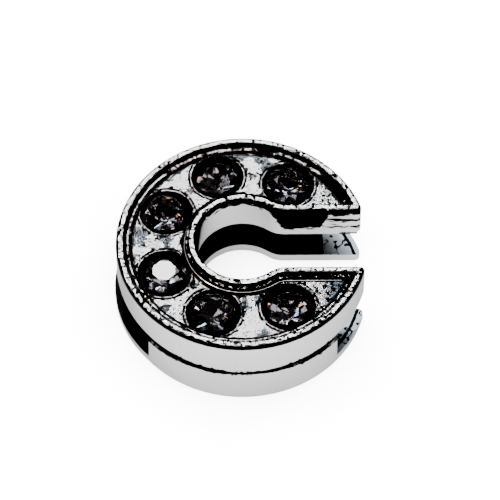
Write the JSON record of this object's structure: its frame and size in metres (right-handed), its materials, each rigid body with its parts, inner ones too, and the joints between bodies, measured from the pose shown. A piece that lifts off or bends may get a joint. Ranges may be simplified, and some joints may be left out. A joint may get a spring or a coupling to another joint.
{
  "type": "letter slider bead",
  "caption": "Letter C slider bead: plated ring-segment casting with round faceted stones, on a flat wristband slot.",
  "frame": {"origin": "on the flat back face, under the middle of the letter's overall box", "axes": "+Z out of the stone-set face, +X towards the letter's opening and along the band"},
  "size_m": [0.0122, 0.0123, 0.0044],
  "materials": {
    "plated_casting": "bright plated, cast grain in the channel",
    "smoky_stone": "polished facets, foiled back"
  },
  "bodies": {
    "root": {"bead_body": "plated_casting", "stone_1": "smoky_stone", "stone_2": "smoky_stone", "stone_3": "smoky_stone", "stone_4": "smoky_stone", "stone_5": "smoky_stone", "stone_6": "smoky_stone"}
  },
  "joints": []
}
